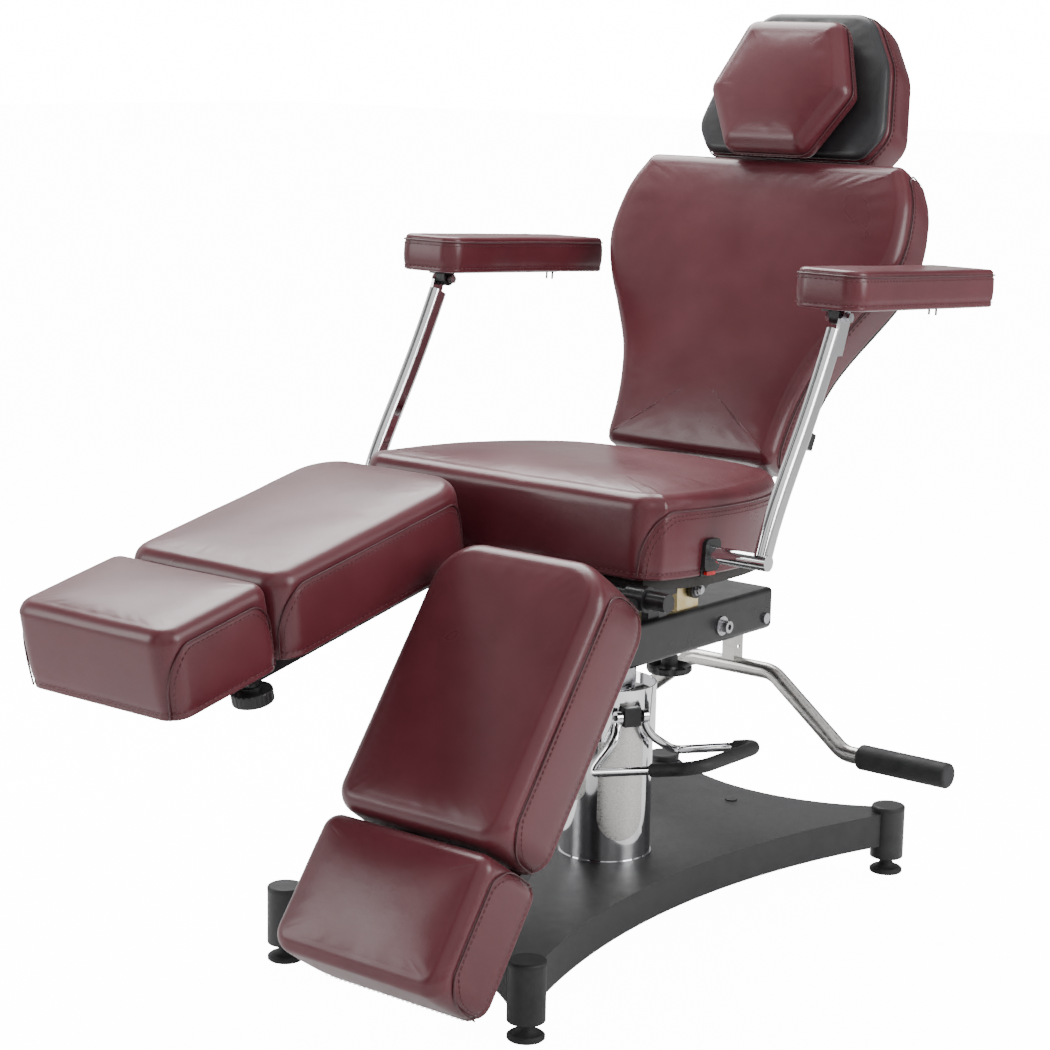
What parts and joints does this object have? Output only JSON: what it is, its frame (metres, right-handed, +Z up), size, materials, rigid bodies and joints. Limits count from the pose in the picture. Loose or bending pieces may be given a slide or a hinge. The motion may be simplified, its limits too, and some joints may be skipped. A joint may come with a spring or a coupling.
{
  "type": "hydraulic client chair with split leg rests",
  "caption": "Height-adjustable swivel client chair with a padded seat, reclining waisted back, head rest, swinging arms and separate sliding leg rests on a pump column.",
  "frame": {"origin": "centre of the bounding box footprint, on the floor", "axes": "+Z up, the sitter faces -Y, +X is the sitter's left"},
  "size_m": [0.8, 1.422, 1.2962],
  "materials": {
    "powder_black": "textured powder coat",
    "frame_black": "gloss",
    "polished_steel": "polished",
    "chrome": "polished",
    "brushed": "brushed",
    "plain_steel": "ground",
    "zinc_yellow": "plated",
    "black_rubber": "matt",
    "black_plastic": "matt",
    "red_plastic": "gloss",
    "board": "black backing cloth",
    "wine_leather": "soft gloss upholstery",
    "black_leather": "soft gloss upholstery"
  },
  "bodies": {
    "base": {"base_plate": "powder_black", "corner_posts": "powder_black", "base_caps": "black_rubber", "pump_cylinder": "polished_steel", "ram_barrel": "plain_steel", "tongue_guards": "brushed", "pedal_block": "black_plastic"},
    "foot_fl": {"foot_fl": "black_rubber"},
    "foot_fr": {"foot_fr": "black_rubber"},
    "foot_rl": {"foot_rl": "black_rubber"},
    "foot_rr": {"foot_rr": "black_rubber"},
    "pedal": {"pedal_rod": "chrome", "pedal_sleeve": "black_rubber"},
    "lift": {"piston_rod": "chrome", "pump_shroud": "chrome"},
    "carrier": {"carrier_frame": "frame_black", "swivel_hub": "plain_steel", "carrier_bolts": "plain_steel", "rest_bars": "frame_black", "hinge_blocks": "zinc_yellow"},
    "brake": {"handwheel": "black_plastic"},
    "lever": {"lever_bar": "brushed", "lever_bracket": "brushed", "lever_grips": "black_rubber"},
    "seat": {"seat_rails": "frame_black", "seat_crossbars": "frame_black", "back_plates": "frame_black", "seat_board": "board", "seat_cushion": "wine_leather", "arm_sockets": "black_plastic", "socket_tabs": "red_plastic", "back_pivot_bolts": "plain_steel"},
    "back": {"back_frame": "frame_black", "back_board": "board", "back_cushion": "wine_leather", "head_guides": "plain_steel"},
    "head_mount": {"head_posts": "chrome"},
    "head": {"head_plate": "frame_black", "head_cushion": "wine_leather", "head_insert": "black_leather", "neck_pillow": "wine_leather"},
    "arm_l": {"arm_tube_l": "chrome", "arm_bolt_l": "plain_steel"},
    "arm_rest_l": {"arm_plate_l": "frame_black", "arm_pad_l": "wine_leather"},
    "leg_l": {"leg_frame_l": "frame_black", "leg_pad_l": "wine_leather"},
    "foot_rest_l": {"foot_frame_l": "frame_black", "foot_pad_l": "wine_leather"},
    "knob_l": {"slide_knob_l": "black_plastic"},
    "arm_r": {"arm_tube_r": "chrome", "arm_bolt_r": "plain_steel"},
    "arm_rest_r": {"arm_plate_r": "frame_black", "arm_pad_r": "wine_leather"},
    "leg_r": {"leg_frame_r": "frame_black", "leg_pad_r": "wine_leather"},
    "foot_rest_r": {"foot_frame_r": "frame_black", "foot_pad_r": "wine_leather"},
    "knob_r": {"slide_knob_r": "black_plastic"}
  },
  "joints": [
    {"name": "foot_fl_turn", "type": "hinge", "parent": "base", "child": "foot_fl", "pos_m": [0.213, -0.29804, 0.03], "axis": [0, 0, 1], "continuous": true},
    {"name": "foot_fr_turn", "type": "hinge", "parent": "base", "child": "foot_fr", "pos_m": [-0.213, -0.29804, 0.03], "axis": [0, 0, 1], "continuous": true},
    {"name": "foot_rl_turn", "type": "hinge", "parent": "base", "child": "foot_rl", "pos_m": [0.213, 0.58696, 0.03], "axis": [0, 0, 1], "continuous": true},
    {"name": "foot_rr_turn", "type": "hinge", "parent": "base", "child": "foot_rr", "pos_m": [-0.213, 0.58696, 0.03], "axis": [0, 0, 1], "continuous": true},
    {"name": "pedal_press", "type": "hinge", "parent": "base", "child": "pedal", "pos_m": [0.06975, 0.10737, 0.316], "axis": [0.4695, 0.8829, 0], "range_deg": [0, 14], "stiffness_Nm_per_rad": 25, "springref_deg": -8.59},
    {"name": "column_lift", "type": "slide", "parent": "base", "child": "lift", "axis": [0, 0, 1], "range_m": [0, 0.2]},
    {"name": "swivel", "type": "hinge", "parent": "lift", "child": "carrier", "pos_m": [0, 0.14446, 0.4], "axis": [0, 0, 1], "continuous": true},
    {"name": "brake_turn", "type": "hinge", "parent": "carrier", "child": "brake", "pos_m": [0, 0.29446, 0.34], "axis": [0, 0, 1], "continuous": true},
    {"name": "lever_rock", "type": "hinge", "parent": "carrier", "child": "lever", "pos_m": [0, 0.46046, 0.397], "axis": [1, 0, 0], "range_deg": [-12, 12], "stiffness_Nm_per_rad": 20},
    {"name": "seat_tilt", "type": "hinge", "parent": "carrier", "child": "seat", "pos_m": [0, 0.27946, 0.471], "axis": [-1, 0, 0], "range_deg": [-3.5, 8.5]},
    {"name": "back_recline", "type": "hinge", "parent": "seat", "child": "back", "pos_m": [0, 0.34946, 0.612], "axis": [-1, 0, 0], "range_deg": [0, 60]},
    {"name": "head_slide", "type": "slide", "parent": "back", "child": "head_mount", "axis": [0, 0.4384, 0.8988], "range_m": [0, 0.08]},
    {"name": "head_tilt", "type": "hinge", "parent": "head_mount", "child": "head", "pos_m": [0, 0.65996, 1.08812], "axis": [-1, 0, 0], "range_deg": [0, 40]},
    {"name": "arm_swing_l", "type": "hinge", "parent": "seat", "child": "arm_l", "pos_m": [0.22, 0.00646, 0.594], "axis": [1, 0, 0], "range_deg": [0, 60]},
    {"name": "arm_rest_tilt_l", "type": "hinge", "parent": "arm_l", "child": "arm_rest_l", "pos_m": [0.346, 0.17246, 0.9], "axis": [1, 0, 0], "range_deg": [-15, 35]},
    {"name": "leg_drop_l", "type": "hinge", "parent": "seat", "child": "leg_l", "pos_m": [0.147, -0.11154, 0.549], "axis": [1, 0, 0], "range_deg": [-54.6, 7.4]},
    {"name": "foot_slide_l", "type": "slide", "parent": "leg_l", "child": "foot_rest_l", "axis": [0, -0.5793, -0.8151], "range_m": [0, 0.095]},
    {"name": "knob_turn_l", "type": "hinge", "parent": "leg_l", "child": "knob_l", "pos_m": [0.0575, -0.35368, 0.20828], "axis": [0, -0.8151, 0.5793], "continuous": true},
    {"name": "arm_swing_r", "type": "hinge", "parent": "seat", "child": "arm_r", "pos_m": [-0.22, 0.00646, 0.594], "axis": [1, 0, 0], "range_deg": [0, 60]},
    {"name": "arm_rest_tilt_r", "type": "hinge", "parent": "arm_r", "child": "arm_rest_r", "pos_m": [-0.346, 0.17246, 0.9], "axis": [1, 0, 0], "range_deg": [-15, 35]},
    {"name": "leg_drop_r", "type": "hinge", "parent": "seat", "child": "leg_r", "pos_m": [-0.147, -0.11154, 0.549], "axis": [1, 0, 0], "range_deg": [-12.1, 49.9]},
    {"name": "foot_slide_r", "type": "slide", "parent": "leg_r", "child": "foot_rest_r", "axis": [0, -0.9778, -0.2096], "range_m": [0, 0.095]},
    {"name": "knob_turn_r", "type": "hinge", "parent": "leg_r", "child": "knob_r", "pos_m": [-0.0575, -0.52025, 0.46138], "axis": [0, -0.2096, 0.9778], "continuous": true}
  ]
}
